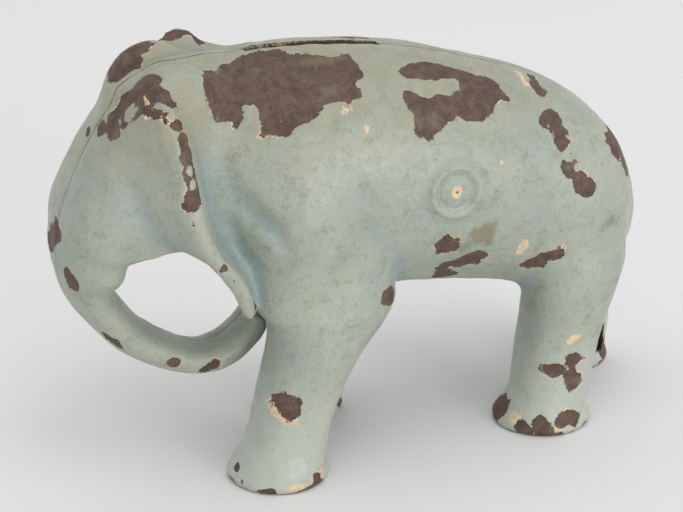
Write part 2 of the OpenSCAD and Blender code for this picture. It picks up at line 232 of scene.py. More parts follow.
class Grid:
    """A block of voxels; every field on it is a dense array of signed distances in mm."""

    def __init__(self, step):
        self.step = step
        self.first = [math.floor(v / step) for v in GRID_LOW]
        last = [math.ceil(v / step) for v in GRID_HIGH]
        self.shape = [b - a + 1 for a, b in zip(self.first, last)]
        axes = [(a + np.arange(n)) * step for a, n in zip(self.first, self.shape)]
        self.x = axes[0][:, None, None].astype(np.float32)
        self.y = axes[1][None, :, None].astype(np.float32)
        self.z = axes[2][None, None, :].astype(np.float32)

    def loft(self, rings):
        """Signed distance to the closed skin through a list of rings."""
        rings = np.array(rings, np.float32)
        n, m = rings.shape[:2]
        points = np.vstack((rings.reshape(-1, 3), rings[0].mean(0), rings[-1].mean(0)))
        j, q = np.arange(m), (np.arange(m) + 1) % m
        low = np.stack((np.full(m, n * m), q, j), -1)
        high = np.stack((np.full(m, n * m + 1), (n - 1) * m + j, (n - 1) * m + q), -1)
        grid = vdb.FloatGrid.createLevelSetFromPolygons(
            points, triangles=np.vstack((low, high)).astype(np.uint32),
            quads=ring_quads(n, m).astype(np.uint32),
            transform=vdb.createLinearTransform(voxelSize=self.step), halfWidth=BAND / self.step)
        field = np.empty(self.shape, np.float32)
        grid.copyToArray(field, ijk=self.first)
        return field

    def blob(self, at, size, tilt):
        """An ellipsoid; tilt turns it about Y, in degrees."""
        c, s = math.cos(math.radians(tilt)), math.sin(math.radians(tilt))
        x, y, z = self.x - at[0], self.y - at[1], self.z - at[2]
        u, w = c * x - s * z, s * x + c * z
        k0 = np.sqrt((u / size[0]) ** 2 + (y / size[1]) ** 2 + (w / size[2]) ** 2)
        k1 = np.sqrt((u / size[0] ** 2) ** 2 + (y / size[1] ** 2) ** 2 + (w / size[2] ** 2) ** 2)
        return k0 * (k0 - 1) / np.maximum(k1, 1e-6)

    def cord(self, path):
        """Distance to a chain of (x, y, z, radius) points, radius blended along each link."""
        field = np.full(self.shape, 99.0, np.float32)
        for a, b in zip(path, path[1:]):
            a, b = np.array(a, np.float32), np.array(b, np.float32)
            d = b[:3] - a[:3]
            x, y, z = self.x - a[0], self.y - a[1], self.z - a[2]
            t = np.clip((x * d[0] + y * d[1] + z * d[2]) / float(d @ d), 0, 1)
            gap = np.sqrt((x - t * d[0]) ** 2 + (y - t * d[1]) ** 2 + (z - t * d[2]) ** 2)
            np.minimum(field, gap - (a[3] + t * (b[3] - a[3])), out=field)
        return field

    def mesh(self, field, name):
        """The zero surface of a field as a mesh object, in metres, facing outward."""
        grid = vdb.FloatGrid(float(BAND))
        grid.copyFromArray(np.clip(field, -BAND, BAND).astype(np.float32), ijk=self.first)
        grid.transform = vdb.createLinearTransform(voxelSize=self.step)
        points, quads = grid.convertToQuads(isovalue=0.0)
        return new_mesh(name, points, quads)


def join(a, b, k):
    """Smooth union: k is the width in mm over which the two run together."""
    h = np.clip(0.5 + 0.5 * (b - a) / k, 0, 1)
    return b + (a - b) * h - k * h * (1 - h)


def carve(a, b, k):
    """Smooth removal of b from a."""
    return -join(-a, b, k)


def barrel_rings():
    """The body, from the neck to the rump."""
    rings = []
    for x, top, bottom, half, roundness in bend(BODY, 4):
        middle, rise = (top + bottom) / 2, (top - bottom) / 2
        u, v = superellipse(roundness, 48)
        rings.append(np.stack((np.full(48, x), half * u, middle + rise * v), -1))
    return rings


def face_rings():
    """Face and forehead, from the mouth up to the crown."""
    rings = []
    for z, front, back, half, roundness in bend(HEAD, 4):
        middle, reach = (front + back) / 2, (back - front) / 2
        u, v = superellipse(roundness, 48)
        rings.append(np.stack((middle + reach * u, half * v, np.full(48, z)), -1))
    return rings


def trunk_rings():
    """Ovals across the trunk, square to its run in the side view."""
    rows = bend(TRUNK, 4)
    heading = np.gradient(rows[:, :2], axis=0)
    heading /= np.linalg.norm(heading, axis=1)[:, None]
    u, v = superellipse(0.95, 32)
    return [np.stack((x - dz * thick * v, half * u, z + dx * thick * v), -1)
            for (x, z, thick, half), (dx, dz) in zip(rows, heading)]


def leg_rings(rows, back, lean, inset=0.0):
    """A leg; a positive inset gives its hollow, left open on the inner side."""
    rings = []
    for z, front, rear, outer, inner in bend(rows, 4):
        if inset and z < WALL + 0.4:
            continue
        inner = inner - 2 * WALL if inset else inner
        drop = max(0.0, 1 - (z / HIP_Z) ** 1.5)
        u, v = superellipse(0.85, 40)
        middle = (outer + inner) / 2 - lean * drop - inset / 2
        rings.append(np.stack(((front + rear) / 2 + back * drop + ((rear - front) / 2 - inset) * u,
                               middle + ((outer - inner) / 2 - inset / 2) * v, np.full(40, z)), -1))
    return rings


def ear_rings(rows):
    """Blunt wedges from the cheek out to the thick edge of the ear."""
    rings = []
    for z, front, rear, out, root_front, root_rear, root in bend(rows, 4):
        middle, shoulder = (out + root) / 2, out - 0.9
        cheek_side = front * 0.62 + root_front * 0.38 - 0.6
        neck_side = rear * 0.7 + root_rear * 0.3
        outline = ((root_front, root), (cheek_side, middle), (front, shoulder),
                   (front * 0.7 + rear * 0.3, out), (front * 0.3 + rear * 0.7, out),
                   (rear, shoulder), (neck_side, middle), (root_rear, root))
        rings.append(np.array([(x, y, z) for x, y in outline])[::-1])
    return rings


def foot_rings(x, y, radius):
    """A flared round foot standing on the floor."""
    u, v = superellipse(1.0, 48)
    return [np.stack((x + (radius - inside) * u, y + (radius - inside) * v, np.full(48, float(z))), -1)
            for z, inside in FOOT_FLARE]


def legs(grid, side, inset=0.0):
    """Fields of the foreleg and the hind leg."""
    right = side == RIGHT
    return [grid.loft(leg_rings(rows, right * back, right * lean, inset))
            for rows, back, lean in zip((FORELEG, HINDLEG), STAGGER, LEAN)]


def head_field(grid, side):
    """Face, crown and ear."""
    head = join(grid.loft(face_rings()), grid.blob(*CROWN), CROWN_BLEND)
    head = join(head, grid.blob(*MOUTH_FOLD), MOUTH_BLEND)
    ear = grid.loft(ear_rings(LEFT_EAR if side == LEFT else RIGHT_EAR))
    if side == LEFT:
        rim = [((front + rear) / 2, y - 1.1, z, RIM_R)
               for z, front, rear, y, *_ in bend(LEFT_EAR, 2) if z > RIM_LOW_Z]
        ear = join(ear, grid.cord(rim), RIM_BLEND)
    head = join(head, ear, EAR_BLEND)
    return join(head, grid.cord(CROWN_RIDGE), RIDGE_BLEND)


def body_field(grid, side):
    """Barrel with its shoulder and haunch, hollowed between them."""
    body = join(grid.loft(barrel_rings()), grid.blob(*SHOULDER[side]), SHOULDER_BLEND)
    body = join(body, grid.blob(*HAUNCH[side]), HAUNCH_BLEND)
    for path, blend in ((SHOULDER_HOLLOW, 3.0), (NECK_HOLLOW, 2.2), (HIP_HOLLOW, 2.5)):
        body = carve(body, grid.cord(path), blend)
    return body


def pad_field(grid, skin):
    """Adds the round pad of the screw and dishes it."""
    rho = np.sqrt((grid.x - SCREW_X) ** 2 + (grid.z - SCREW_Z) ** 2)
    skin = join(skin, np.maximum(rho - PAD_R, np.abs(grid.y - PAD_Y) - PAD_HALF), PAD_BLEND)
    return carve(skin, np.maximum(rho - DISH_R, DISH_Y - grid.y), DISH_BLEND)


def skin_field(grid, side):
    """Outer surface of one half, as if the other half weren't there."""
    right = side == RIGHT
    radius = FOOT_R[side]
    skin = join(body_field(grid, side), head_field(grid, side), NECK_BLEND)
    skin = join(skin, grid.loft(trunk_rings()), TRUNK_BLEND)
    for leg, blend in zip(legs(grid, side), LEG_BLENDS):
        skin = join(skin, leg, blend)
    for x, reach, back, lean in zip(FOOT_X, FOOT_REACH, STAGGER, LEAN):
        foot = grid.loft(foot_rings(x + right * back, reach - radius - right * lean, radius))
        skin = join(skin, foot, FOOT_BLEND)
    if right:
        skin = join(skin, grid.cord(TAIL), TAIL_BLEND)
        skin = carve(skin, grid.cord(WELT), WELT_BLEND)
    else:
        skin = pad_field(grid, skin)
    skin = skin + SEAM_DEPTH * np.exp(-(grid.y / SEAM_HALF) ** 2)
    return np.maximum(skin, -grid.z)


def cavity_field(grid, side):
    """The coin chamber and the open-backed hollows of both legs."""
    barrel = grid.loft(barrel_rings())
    head = np.maximum(grid.loft(face_rings()) + WALL, -(grid.x + 52))
    chamber = join(barrel + WALL, head, 3)
    fore, hind = legs(grid, side, WALL)
    return np.minimum(chamber, np.maximum(np.minimum(fore, hind), 0.3 - barrel))


def blur(field, reach, passes=2):
    """Box blur along each axis in turn, over 2 * reach + 1 voxels."""
    for _ in range(passes):
        for axis in range(3):
            size = field.shape[axis]
            padded = np.take(field, np.clip(np.arange(-reach - 1, size + reach), 0, size - 1), axis)
            total = np.cumsum(padded, axis=axis, dtype=np.float64)
            span = 2 * reach + 1
            high = np.take(total, np.arange(span, span + size), axis)
            low = np.take(total, np.arange(size), axis)
            field = ((high - low) / span).astype(np.float32)
    return field


# ---------------------------------------------------------------- mesh helpers
def new_mesh(name, points, faces):
    """Mesh object from points in mm."""
    mesh = bpy.data.meshes.new(name)
    mesh.vertices.add(len(points))
    mesh.vertices.foreach_set("co", (np.asarray(points, np.float32) * MM).ravel())
    size = faces.shape[1]
    mesh.loops.add(faces.size)
    mesh.loops.foreach_set("vertex_index", faces.astype(np.int32).ravel())
    mesh.polygons.add(len(faces))
    mesh.polygons.foreach_set("loop_start", np.arange(0, faces.size, size, dtype=np.int32))
    mesh.update(calc_edges=True)
    mesh.validate()
    piece = bpy.data.objects.new(name, mesh)
    bpy.context.scene.collection.objects.link(piece)
    return piece


def block(low, high):
    """A box between two corners, in mm."""
    corners = np.array([(x, y, z) for x in (low[0], high[0]) for y in (low[1], high[1])
                        for z in (low[2], high[2])])
    faces = np.array(((0, 1, 3, 2), (4, 6, 7, 5), (0, 4, 5, 1), (2, 3, 7, 6), (0, 2, 6, 4), (1, 5, 7, 3)))
    return new_mesh("block", corners, faces)


def rod(y0, y1, radius, count=48):
    """A closed cylinder on the axis of the screw."""
    angle = np.arange(count) * math.tau / count
    x, z = SCREW_X, SCREW_Z
    ring = np.stack((x + radius * np.cos(angle), np.zeros(count), z + radius * np.sin(angle)), -1)
    points = np.vstack((ring + (0, y0, 0), ring + (0, y1, 0), ((x, y0, z), (x, y1, z))))
    i, q = np.arange(count), (np.arange(count) + 1) % count
    faces = np.vstack((
        np.stack((i, i + count, q + count), -1), np.stack((i, q + count, q), -1),
        np.stack((np.full(count, 2 * count), i, q), -1),
        np.stack((np.full(count, 2 * count + 1), q + count, i + count), -1)))
    return new_mesh("rod", points, faces)


def combine(piece, tool, operation):
    """Boolean of two closed meshes; the tool is used up."""
    modifier = piece.modifiers.new("combine", "BOOLEAN")
    modifier.operation = operation
    modifier.solver = "MANIFOLD"
    modifier.object = tool
    graph = bpy.context.evaluated_depsgraph_get()
    result = bpy.data.meshes.new_from_object(piece.evaluated_get(graph))
    old = piece.data
    piece.modifiers.clear()
    piece.data = result
    bpy.data.meshes.remove(old)
    spent = tool.data
    bpy.data.objects.remove(tool)
    bpy.data.meshes.remove(spent)
    return piece


def blend_cells(lattice, base, part):
    """Values part of the way from lattice cell base to the next; the lattice repeats past its end."""
    value = np.zeros(len(base))
    for corner in range(8):
        step = np.array((corner & 1, corner >> 1 & 1, corner >> 2 & 1))
        weight = np.where(step, part, 1 - part).prod(1)
        i, j, k = ((base + step) % lattice.shape).T
        value += weight * lattice[i, j, k]
    return value


def grid_sample(grid, field, points):
    """Field values at points in mm, blended between voxels."""
    q = points / grid.step - np.array(grid.first)
    base = np.clip(np.floor(q).astype(int), 0, np.array(grid.shape) - 2)
    return blend_cells(field, base, np.clip(q - base, 0, 1))


def grain(points, size, seed):
    """Smooth random field with features of about the given size in mm."""
    lattice = np.random.default_rng(seed).standard_normal((GRAIN_CELLS,) * 3)
    q = points / size
    base = np.floor(q).astype(int)
    part = q - base
    return blend_cells(lattice, base, part * part * (3 - 2 * part))


def grains(points, rows):
    """Sum of random fields: feature size, height, seed."""
    return sum(height * grain(points, size, seed) for size, height, seed in rows)


# ---------------------------------------------------------------- chips, primer and stains
# Chip outlines are drawn around an axis at this height, a degree counting as so many mm
CHIP_AXIS_Z = 56.0
MM_PER_DEGREE = 0.4
# Distances to a chip's edge that stand for whole paint and for none
WHOLE, BARE = 9.0, -1.5
PAINT_DEPTH = 0.17
# Random fields: feature size, height, seed
CHIP_RAGS = ((2.6, 0.55, 1), (1.4, 0.35, 2))
CREAM_RAGS = ((1.3, 0.3, 5),)
STAIN_RAGS = ((2.4, 0.8, 6),)
SLOT_RAGS = ((1.8, 0.2, 3),)
LUMPS = ((6, 0.09, 11), (2.2, 0.045, 12), (1.1, 0.02, 13))
# Soles are bare below this height, and the slot's lips above this one
SOLE_WEAR_Z, SLOT_WEAR_Z = 0.35, 76
# Reach of the blur that tells hollows from swells
CURVE_REACH = 1.4
# Chip outlines on the barrel: x, degrees up from the flank
SHOULDER_CHIP = (
    (-35, 70), (-28.5, 80), (-24.5, 85), (-18, 84), (-13, 79), (-8.5, 75.5), (-4.5, 76), (-3.5, 64),
    (-5.5, 57), (-5.5, 52), (-9.5, 50), (-13, 51), (-17, 45), (-19, 45), (-21, 41), (-23.5, 40),
    (-26, 43), (-25, 50), (-24.5, 55), (-26, 60), (-28, 58), (-28.5, 53), (-30, 49), (-30.5, 54),
    (-34, 54), (-35.5, 60),
)
BACK_CHIP = (
    (3.5, 65), (7, 70), (16, 69), (23.5, 63), (26, 58), (25.5, 45), (22, 41), (20, 35), (15, 36),
    (14, 39), (12, 35), (9.5, 30), (6, 28.5), (4, 33), (4, 42), (2, 51), (4, 53), (8, 48.5), (13, 50),
    (16, 57), (15.5, 61), (9, 58), (5, 60),
)
RIGHT_SHOULDER_CHIP = (
    (-24, 62), (-17, 70), (-9, 68), (-5, 60), (-8, 52), (-14, 50), (-17, 42), (-22, 47), (-21, 54),
)
RIGHT_BACK_CHIP = (
    (17, 60), (24, 66), (33, 61), (36, 50), (31, 38), (27, 41), (24, 49), (19, 50),
)
# Spots seen from the side: x, z, half length, half height, tilt in degrees
LEFT_SPOTS = (
    (35, 68.7, 1.7, 1.5, 0), (34.6, 64.6, 2.3, 2.0, -20), (35.8, 61.8, 1.7, 2.2, 10),
    (36.3, 56.4, 2.3, 2.2, 0), (38.4, 54, 1.5, 1.6, 0), (40, 51.6, 2.1, 1.9, 0),
    (49.2, 58, 2.4, 3.4, 25), (51.8, 53, 1.6, 3.2, 20),
    (10.2, 44.2, 2.6, 2.8, 10), (15, 39.4, 3.6, 1.8, 15), (12.6, 35.6, 2.4, 2.4, 0),
    (30.4, 36.6, 2.4, 1.7, 20), (33.6, 38.2, 2.4, 1.2, 30), (-1.8, 35, 1.9, 1.8, -25),
    (37.2, 15.4, 2.5, 2.3, 0), (37.9, 11.4, 2.2, 3.2, 8), (34.6, 14.2, 2.6, 1.7, 0),
    (36.8, 3.2, 3.2, 1.8, 5), (31.2, 2.0, 1.6, 1.6, 0), (27.8, 1.0, 1.2, 1.4, 0),
    (-23.2, 16.8, 2.5, 2.6, 0), (-27.6, 0.4, 2.8, 0.8, 0), (-20.4, 0.9, 2.6, 0.7, 0),
    (-52.4, 28.6, 1.9, 0.6, -43), (-40.7, 22.3, 1.2, 1.1, 0), (-34.2, 19.8, 2.9, 1.0, 12),
)
RIGHT_SPOTS = (
    (36, 55, 3.0, 2.2, 30), (43, 57, 1.6, 1.6, 0), (0, 47, 2.6, 1.8, 0), (22, 40, 3.2, 1.4, -15),
    (-16, 38, 1.8, 2.6, 20), (-6, 15, 2.4, 3.2, 0), (50, 19, 2.2, 3.4, 10), (47, 14, 1.6, 1.4, 0),
    (-10, 1.6, 3.0, 1.2, 0), (-2, 2.6, 2.2, 1.4, 0), (50, 2.2, 3.4, 1.6, 0), (57, 2.8, 1.8, 1.6, 0),
    (-48, 24.5, 2.6, 0.9, -35), (-36, 21, 2.0, 1.0, 0), (-44, 60, 1.6, 1.4, 0), (14, 60, 2.6, 1.4, 0),
    (-31, 72, 1.6, 3.4, 0), (-30, 45, 1.2, 2.2, 0), (-53, 60, 1.6, 1.2, 0),
)
# Spots placed in the round: x, y, z, radius
LEFT_BALLS = (
    (-52.8, -2.6, 71.6, 2.0), (-51.2, -4, 73.2, 2.4), (-49.6, -4.6, 75.4, 2.5), (-48.2, -5.6, 77.4, 2.7),
    (-47, -6.4, 79.2, 2.6), (-45.7, -8.2, 80.6, 2.5), (-44.8, -8.6, 81.4, 1.9), (-45, -11.4, 79.6, 2.0),
    (-43.5, -12.9, 79.6, 1.6), (-42.6, -14.5, 79, 1.2), (-47.6, -10.2, 77.2, 1.9),
    (-46.4, -12.4, 77, 1.9), (-45.7, -14.6, 76.4, 1.6), (-51.2, -6.4, 72, 1.9), (-49.6, -8, 74.2, 1.7),
    (-44.6, -15.8, 76.4, 1.3), (-43.2, -17.2, 75, 1.3), (-42.2, -18.6, 72.6, 1.9),
    (-41.8, -19.8, 70, 2.3), (-41.4, -20.8, 67.2, 2.4), (-41.2, -21.6, 64.4, 2.3),
    (-41.5, -22.2, 61.4, 1.7), (-42, -22.5, 59, 0.9), (-36.2, -22, 48, 0.8),
    (-34.4, -21.2, 45.8, 0.9), (-32.6, -20, 43.3, 0.6), (-28.9, -17.4, 37, 0.7),
    (-60.2, -6.2, 43.8, 2.2), (26.2, -12, 3.6, 2.6), (25.6, -9, 2.4, 2.6),
    (-32.4, -16, 3.2, 1.0), (-31.8, -19, 1.6, 0.9), (-61.2, -0.8, 50.6, 1.6),
)
RIGHT_BALLS = (
    (-47, 5.5, 79.6, 2.6), (-44.5, 6.3, 81.4, 3.0), (-41.5, 6.8, 82.3, 2.8), (-43.5, 3.6, 80.6, 2.0),
    (-39.5, 6.5, 82.5, 1.6), (-34, 13, 82.5, 2.6), (-30, 13, 82.5, 2.0), (-28.5, 11, 81.6, 1.6),
    (59.6, 5.6, 4, 3.2), (-1, 4.6, 2.2, 2.2), (-22, 4.5, 80.8, 1.7), (-18.5, 5, 80.8, 1.5),
    (-1, 4.5, 80.7, 1.6), (3, 5, 80.2, 1.5), (-61.2, 0.8, 51.6, 2.0), (-61.2, 2.6, 49.2, 2.4),
    (-61, 5.6, 46.6, 2.2), (-54.9, 2.1, 69.7, 1.1), (59.4, 4, 33, 1.6), (56.6, 4, 48, 1.3),
)
# Paint left standing inside the chips
LEFT_ISLANDS = (
    (-49.2, -9.2, 75.8, 1.5), (-41.8, -20.6, 68, 0.8), (-41.4, -21.4, 65.4, 0.8),
    (-43.6, -16.2, 76.6, 0.9),
)
# Cream primer showing on the left half: x, z, half length, half height, tilt
CREAM_SPOTS = (
    (-23.8, 16.3, 2.5, 2.8, 0), (26.4, 41, 0.9, 1.9, -10), (37.6, 20.2, 1.5, 0.9, 30),
    (32.2, 71, 1.0, 0.7, 0), (-23, 1.2, 2.2, 0.6, 0), (-18, 2.2, 1.2, 0.6, 0), (-9, 73.4, 1.1, 0.7, 0),
    (34.6, 39.2, 1.3, 0.8, 40), (27.4, 2.4, 0.8, 1.6, 0), (33, 1.2, 2.2, 0.8, 0),
    (21, 60.1, 0.35, 0.35, 0), (-6, 69.8, 0.45, 0.6, 0), (2.4, 56.2, 0.45, 0.6, 0),
)
# Brownish stains: x, z, half length, half height, tilt
STAINS = ((17.2, 46, 4.8, 2.8, 25), (46, 43, 1.8, 1.4, 20))


def outline_distance(u, v, outline):
    """Signed distance from points to a closed outline, negative inside."""
    corners = np.array(outline, float)
    nearest = np.full(len(u), 1e9)
    inside = np.zeros(len(u), bool)
    for (ax, ay), (bx, by) in zip(corners, np.roll(corners, -1, 0)):
        dx, dy = bx - ax, by - ay
        t = np.clip(((u - ax) * dx + (v - ay) * dy) / (dx * dx + dy * dy), 0, 1)
        nearest = np.minimum(nearest, np.hypot(u - ax - t * dx, v - ay - t * dy))
        crosses = (ay > v) != (by > v)
        inside ^= crosses & (u < ax + (v - ay) * dx / (dy if dy else 1))
    return np.where(inside, -nearest, nearest)


def spots(points, rows):
    """Nearest of a set of tilted ellipses in the side view."""
    field = np.full(len(points), WHOLE)
    for x, z, a, b, tilt in rows:
        c, s = math.cos(math.radians(tilt)), math.sin(math.radians(tilt))
        u, w = points[:, 0] - x, points[:, 2] - z
        k = np.hypot((c * u + s * w) / a, (c * w - s * u) / b)
        field = np.minimum(field, (k - 1) * min(a, b))
    return field


def balls(points, rows):
    """Nearest of a set of balls."""
    field = np.full(len(points), WHOLE)
    for row in rows:
        field = np.minimum(field, np.linalg.norm(points - np.array(row[:3]), axis=1) - row[3])
    return field


def facing_in(normals, side):
    """Grows from zero on faces that look toward the joint, to keep side-view spots off them."""
    return 8 * np.clip(0.15 - normals[:, 1] * side, 0, 1)


def chip_field(points, normals, side):
    """Signed distance in mm to the bare iron on one half, negative where it is bare."""
    angle = np.degrees(np.arctan2(points[:, 2] - CHIP_AXIS_Z, np.abs(points[:, 1]))) * MM_PER_DEGREE
    field = np.full(len(points), WHOLE)
    shapes = (SHOULDER_CHIP, BACK_CHIP) if side == LEFT else (RIGHT_SHOULDER_CHIP, RIGHT_BACK_CHIP)
    for shape in shapes:
        outline = [(x, a * MM_PER_DEGREE) for x, a in shape]
        field = np.minimum(field, outline_distance(points[:, 0], angle, outline))
    side_spots = spots(points, LEFT_SPOTS if side == LEFT else RIGHT_SPOTS)
    field = np.minimum(field, side_spots + facing_in(normals, side))
    field = np.minimum(field, balls(points, LEFT_BALLS if side == LEFT else RIGHT_BALLS))
    if side == LEFT:
        field = np.maximum(field, -balls(points, LEFT_ISLANDS))
    field = np.minimum(field, points[:, 2] - SOLE_WEAR_Z)
    field = field + grains(points, CHIP_RAGS) * np.clip(1.2 - 0.1 * field, 0.2, 1)
    return np.minimum(field, slot_wear(points))


def slot_wear(points):
    """Distance to the worn lips of the coin slot, on the back only."""
    along = np.maximum(SLOT_X[0] - points[:, 0], points[:, 0] - SLOT_X[1])
    lips = np.maximum(along, np.abs(points[:, 1]) - SLOT_WIDTH / 2)
    return np.maximum(lips, SLOT_WEAR_Z - points[:, 2]) + 0.1 + grains(points, SLOT_RAGS)


# ---------------------------------------------------------------- the two halves
def lug(x, top):
    """Locating lug on the left half: root in the wall, tongue past the joint."""
    table = np.array(BODY, float)
    column = 1 if top else 2
    level = np.interp(x, table[:, 0], table[:, column])
    slope = (np.interp(x + 2, table[:, 0], table[:, column])
             - np.interp(x - 2, table[:, 0], table[:, column])) / 4
    sign = -1 if top else 1
    half = LUG_WIDTH / 2
    near, far = sorted((sign * LUG_ROOM, sign * (LUG_ROOM + LUG_THICK)))
    tongue = block((-half, -LUG_REACH, near), (half, LUG_ROOT_Y, far))
    near, far = sorted((-sign * WALL / 2, sign * (LUG_ROOM + LUG_THICK)))
    root = block((-half, JOINT_GAP, near), (half, LUG_ROOT_Y, far))
    combine(tongue, root, "UNION")
    turn = Matrix.Rotation(-math.atan(slope), 4, "Y")
    tongue.data.transform(Matrix.Translation(Vector((x, 0, level + sign * WALL)) * MM) @ turn)
    return tongue


def cut_half(piece, side):
    """Split face, slot, screw bosses, bores and lugs."""
    combine(piece, block((-BEYOND, -BEYOND, -BEYOND), (BEYOND, JOINT_GAP, BEYOND)), "DIFFERENCE")
    if side == LEFT:
        combine(piece, rod(LEFT_BOSS_Y, BOSS_ROOT_Y, BOSS_R), "UNION")
        for x, top in LUGS:
            combine(piece, lug(x, top), "UNION")
        combine(piece, rod(SEAT_Y, BEYOND, POCKET_R, 96), "DIFFERENCE")
        combine(piece, rod(-BEYOND, BEYOND, BORE_R), "DIFFERENCE")
    else:
        combine(piece, rod(JOINT_GAP, BOSS_ROOT_Y, BOSS_R), "UNION")
        combine(piece, rod(-BEYOND, TAPPED_Y, BORE_R), "DIFFERENCE")
    slot = block((SLOT_X[0], -BEYOND, SLOT_LOW_Z), (SLOT_X[1], SLOT_WIDTH / 2, BEYOND))
    combine(piece, slot, "DIFFERENCE")


def vertex_array(source, name):
    """A vector per vertex, as an array."""
    values = np.empty(len(source) * 3, np.float32)
    source.foreach_get(name, values)
    return values.reshape(-1, 3).astype(np.float64)


def set_attribute(mesh, name, values):
    """Stores a number per vertex for the material to read."""
    layer = mesh.attributes.new(name, "FLOAT", "POINT")
    layer.data.foreach_set("value", values.astype(np.float32))


def wear(piece, grid, skin, side):
    """Stores where paint is missing and presses the chips and casting lumps into the mesh."""
    mesh = piece.data
    points = vertex_array(mesh.vertices, "co") / MM
    normals = vertex_array(mesh.vertex_normals, "vector")
    mirrored = points * (1, side, 1)
    depth = grid_sample(grid, skin, mirrored)
    blurred = blur(np.clip(skin, -4, 4), round(CURVE_REACH / grid.step))
    curve = grid_sample(grid, blurred, mirrored)
    outside = np.clip((depth + 0.7) / 0.35, 0, 1)
    chip = chip_field(points, normals, side)
    chip = np.where(outside > 0.5, chip, BARE)
    cream = spots(points, CREAM_SPOTS) + facing_in(normals, side) + grains(points, CREAM_RAGS)
    stain = spots(points, STAINS) + grains(points, STAIN_RAGS)
    if side == RIGHT:
        cream += WHOLE
        stain = np.minimum(stain, grid_sample(grid, grid.cord(WELT), mirrored) * 1.6)
    off_joint = np.clip((mirrored[:, 1] - 0.15) / 0.8, 0, 1)
    off_floor = np.clip((points[:, 2] - 0.1) / 0.6, 0, 1)
    dent = PAINT_DEPTH * np.clip(0.5 - chip / 0.5, 0, 1)
    shift = (grains(points, LUMPS) - dent) * off_joint * outside * off_floor
    points += normals * shift[:, None]
    mesh.vertices.foreach_set("co", (points * MM).astype(np.float32).ravel())
    set_attribute(mesh, "chip", chip)
    set_attribute(mesh, "cream", cream)
    set_attribute(mesh, "stain", stain)
    # Curvature, read by the material for painted shade in hollows and painted light on swells
    set_attribute(mesh, "curve", curve * outside)
    mesh.update()


def build_half(side):
    """One cast half: skin, hollows, cuts, then wear."""
    grid = Grid(SKIN_STEP)
    skin = skin_field(grid, side)
    piece = grid.mesh(skin, "left_half" if side == LEFT else "right_half")
    coarse = Grid(CAVITY_STEP)
    combine(piece, coarse.mesh(cavity_field(coarse, side), "cavity"), "DIFFERENCE")
    cut_half(piece, side)
    piece.data.transform(Matrix.Diagonal((1, side, 1, 1)))
    if side == LEFT:
        piece.data.flip_normals()
    piece.data.update()
    wear(piece, grid, skin, side)
    piece.data.shade_smooth()
    piece.data.set_sharp_from_angle(angle=SHARP)
    return piece


# ---------------------------------------------------------------- screw
def build_screw():
    """Round-head screw lying along Y: domed head with a filled slot, threaded shank."""
    turns = 64
    angle = np.arange(turns) * math.tau / turns
    rings = []
    for r, rise in DOME:
        across = r * np.sin(angle)
        groove = GROOVE_DEPTH * np.exp(-(across / GROOVE_HALF) ** 2) * (r < GROOVE_R)
        rings.append((np.full(turns, r), SEAT_Y + rise - groove))
    rings.append((np.full(turns, HEAD_R), np.full(turns, SEAT_Y + SEAT_GAP)))
    rings.append((np.full(turns, SHANK_R), np.full(turns, SEAT_Y + SEAT_GAP)))
    along = np.arange(SEAT_Y - 0.4, SHANK_END, -0.1)
    for y in along:
        crest = np.abs(((y / THREAD_PITCH - angle / math.tau) % 1.0) - 0.5) * 2
        depth = THREAD_DEPTH * np.clip(1.15 - crest * 1.6, 0, 1) * (y < THREAD_TOP)
        taper = 0.35 * np.clip((SHANK_END + 0.5 - y) / 0.5, 0, 1)
        rings.append((SHANK_R - depth - taper, np.full(turns, y)))
    rings.append((np.full(turns, 0.02), np.full(turns, SHANK_END)))
    cos, sin = np.cos(angle), np.sin(angle)
    points = np.concatenate([np.stack((SCREW_X + r * cos, -y, SCREW_Z + r * sin), -1)
                             for r, y in rings])
    piece = new_mesh("cross_screw", points, ring_quads(len(rings), turns))
    edit = bmesh.new()
    edit.from_mesh(piece.data)
    bmesh.ops.holes_fill(edit, edges=[e for e in edit.edges if e.is_boundary], sides=0)
    bmesh.ops.recalc_face_normals(edit, faces=edit.faces)
    edit.to_mesh(piece.data)
    edit.free()
    rho = np.hypot(points[:, 0] - SCREW_X, points[:, 2] - SCREW_Z)
    painted = points[:, 1] < -HEAD_PAINT_Y
    worn = rho - 1.1 + 0.25 * grain(points, 0.8, 21)
    bare = rho - 0.05 + 0.25 * grain(points, 0.5, 22)
    set_attribute(piece.data, "cream", np.where(painted, worn, WHOLE))
    set_attribute(piece.data, "chip", np.where(painted, bare, BARE))
    set_attribute(piece.data, "stain", np.full(len(points), WHOLE))
    set_attribute(piece.data, "curve", np.zeros(len(points)))
    piece.data.shade_smooth()
    piece.data.set_sharp_from_angle(angle=SHARP)
    return piece


